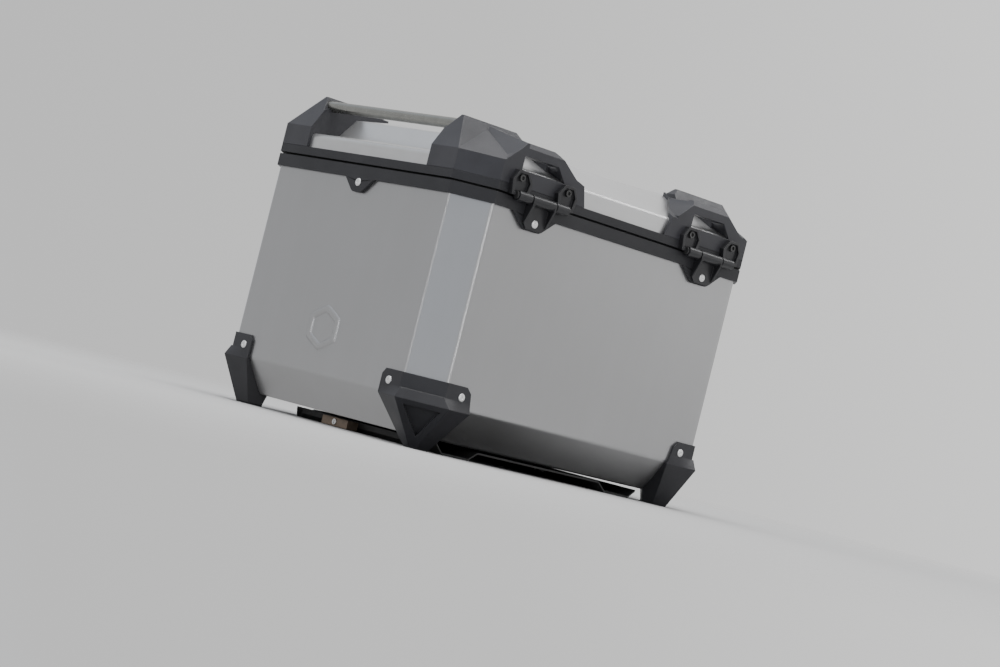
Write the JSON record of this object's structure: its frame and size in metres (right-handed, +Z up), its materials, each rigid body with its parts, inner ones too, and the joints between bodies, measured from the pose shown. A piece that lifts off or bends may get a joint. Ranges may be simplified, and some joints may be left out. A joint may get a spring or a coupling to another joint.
{
  "type": "motorcycle top case",
  "caption": "Octagonal sheet-metal top case with a side-hinged crowned lid, draw latches, lashing corners, carry rails, foot protectors and a rack adapter plate.",
  "frame": {"origin": "centre of the four rack bolts, on the plane of the adapter's pads and the feet", "axes": "+X towards the hinge side, -Y towards the rear end of the case, +Z up"},
  "size_m": [0.3574, 0.426, 0.3214],
  "materials": {
    "tub_sheet": "anodised grey aluminium sheet, satin, fine grain",
    "lid_sheet": "anodised grey aluminium sheet, satin, fine grain",
    "inner_sheet": "plain mill-finish sheet",
    "body_rim_plastic": "fine-grained black plastic",
    "lid_rim_plastic": "fine-grained black plastic",
    "seal_rubber": "dull black rubber",
    "rail_tube": "satin anodised tube",
    "hinge_casting": "black powder coat",
    "latch_casting": "black powder coat",
    "pin_steel": "dull plated steel",
    "link_steel": "bright zinc-plated strip",
    "lock_metal": "nickel-plated plug",
    "corner_plastic": "grained black plastic",
    "protector_plastic": "fine-grained black plastic",
    "rivet_metal": "bright rivet head",
    "screw_steel": "plated steel",
    "adapter_sheet": "black powder-coated sheet",
    "lock_housing_metal": "brown-grey cast metal"
  },
  "bodies": {
    "case": {"body_shell": "tub_sheet", "body_rim_frame": "body_rim_plastic", "rim_seal": "seal_rubber", "inner_floor_plate": "inner_sheet", "adapter_plate": "adapter_sheet", "adapter_bolts": "screw_steel", "adapter_nuts": "screw_steel", "adapter_spacers": "seal_rubber", "adapter_lock_housing": "lock_housing_metal", "protector_rivets": "rivet_metal", "rim_tab_rivets": "rivet_metal", "hinge_bracket_rivets": "rivet_metal", "latch_base_rivets": "rivet_metal", "corner_protector_rear_right": "protector_plastic", "corner_protector_rear_left": "protector_plastic", "corner_protector_front_right": "protector_plastic", "corner_protector_front_left": "protector_plastic", "hinge_bracket_rear": "hinge_casting", "hinge_bracket_front": "hinge_casting", "hinge_pin_rear": "pin_steel", "hinge_pin_front": "pin_steel", "latch_base_rear": "latch_casting", "latch_base_front": "latch_casting", "latch_pins_rear": "pin_steel", "latch_pins_front": "pin_steel"},
    "lid": {"lid_panel": "lid_sheet", "lid_rim_frame": "lid_rim_plastic", "hinge_screws": "screw_steel", "hinge_nuts": "screw_steel", "catch_screws": "screw_steel", "catch_nuts": "screw_steel", "lid_corner_rear_right": "corner_plastic", "lid_corner_rear_left": "corner_plastic", "lid_corner_front_right": "corner_plastic", "lid_corner_front_left": "corner_plastic", "rail_tube_rear": "rail_tube", "rail_tube_front": "rail_tube", "hinge_arm_rear_outer": "hinge_casting", "hinge_arm_rear_inner": "hinge_casting", "hinge_arm_front_outer": "hinge_casting", "hinge_arm_front_inner": "hinge_casting", "latch_catch_rear": "latch_casting", "latch_catch_front": "latch_casting"},
    "adapter_key_plug": {"adapter_lock_plug": "lock_metal"},
    "lever_rear": {"latch_lever_rear": "latch_casting", "latch_link_pin_rear": "pin_steel"},
    "link_rear": {"latch_link_rear": "link_steel"},
    "key_plug_rear": {"latch_lock_plug_rear": "lock_metal"},
    "lever_front": {"latch_lever_front": "latch_casting", "latch_link_pin_front": "pin_steel"},
    "link_front": {"latch_link_front": "link_steel"},
    "key_plug_front": {"latch_lock_plug_front": "lock_metal"}
  },
  "joints": [
    {"name": "lid_hinge", "type": "hinge", "parent": "case", "child": "lid", "pos_m": [0.1709, 0, 0.257], "axis": [0, 1, 0], "range_deg": [0, 95]},
    {"name": "adapter_key_turn", "type": "hinge", "parent": "case", "child": "adapter_key_plug", "pos_m": [-0.01, -0.155, 0.00475], "axis": [0, 1, 0], "range_deg": [0, 90]},
    {"name": "lever_swing_rear", "type": "hinge", "parent": "case", "child": "lever_rear", "pos_m": [-0.173, -0.1215, 0.243], "axis": [0, 1, 0], "range_deg": [0, 110]},
    {"name": "link_swing_rear", "type": "hinge", "parent": "lever_rear", "child": "link_rear", "pos_m": [-0.1709, -0.1215, 0.234], "axis": [0, 1, 0], "range_deg": [-110, 0]},
    {"name": "key_turn_rear", "type": "hinge", "parent": "lever_rear", "child": "key_plug_rear", "pos_m": [-0.179, -0.1215, 0.22], "axis": [1, 0, 0], "range_deg": [0, 90]},
    {"name": "lever_swing_front", "type": "hinge", "parent": "case", "child": "lever_front", "pos_m": [-0.173, 0.1215, 0.243], "axis": [0, 1, 0], "range_deg": [0, 110]},
    {"name": "link_swing_front", "type": "hinge", "parent": "lever_front", "child": "link_front", "pos_m": [-0.1709, 0.1215, 0.234], "axis": [0, 1, 0], "range_deg": [-110, 0]},
    {"name": "key_turn_front", "type": "hinge", "parent": "lever_front", "child": "key_plug_front", "pos_m": [-0.179, 0.1215, 0.22], "axis": [1, 0, 0], "range_deg": [0, 90]}
  ],
  "couplings": [
    {"joint": "link_swing_rear", "follows": "lever_swing_rear", "ratio": -1},
    {"joint": "link_swing_front", "follows": "lever_swing_front", "ratio": -1}
  ]
}
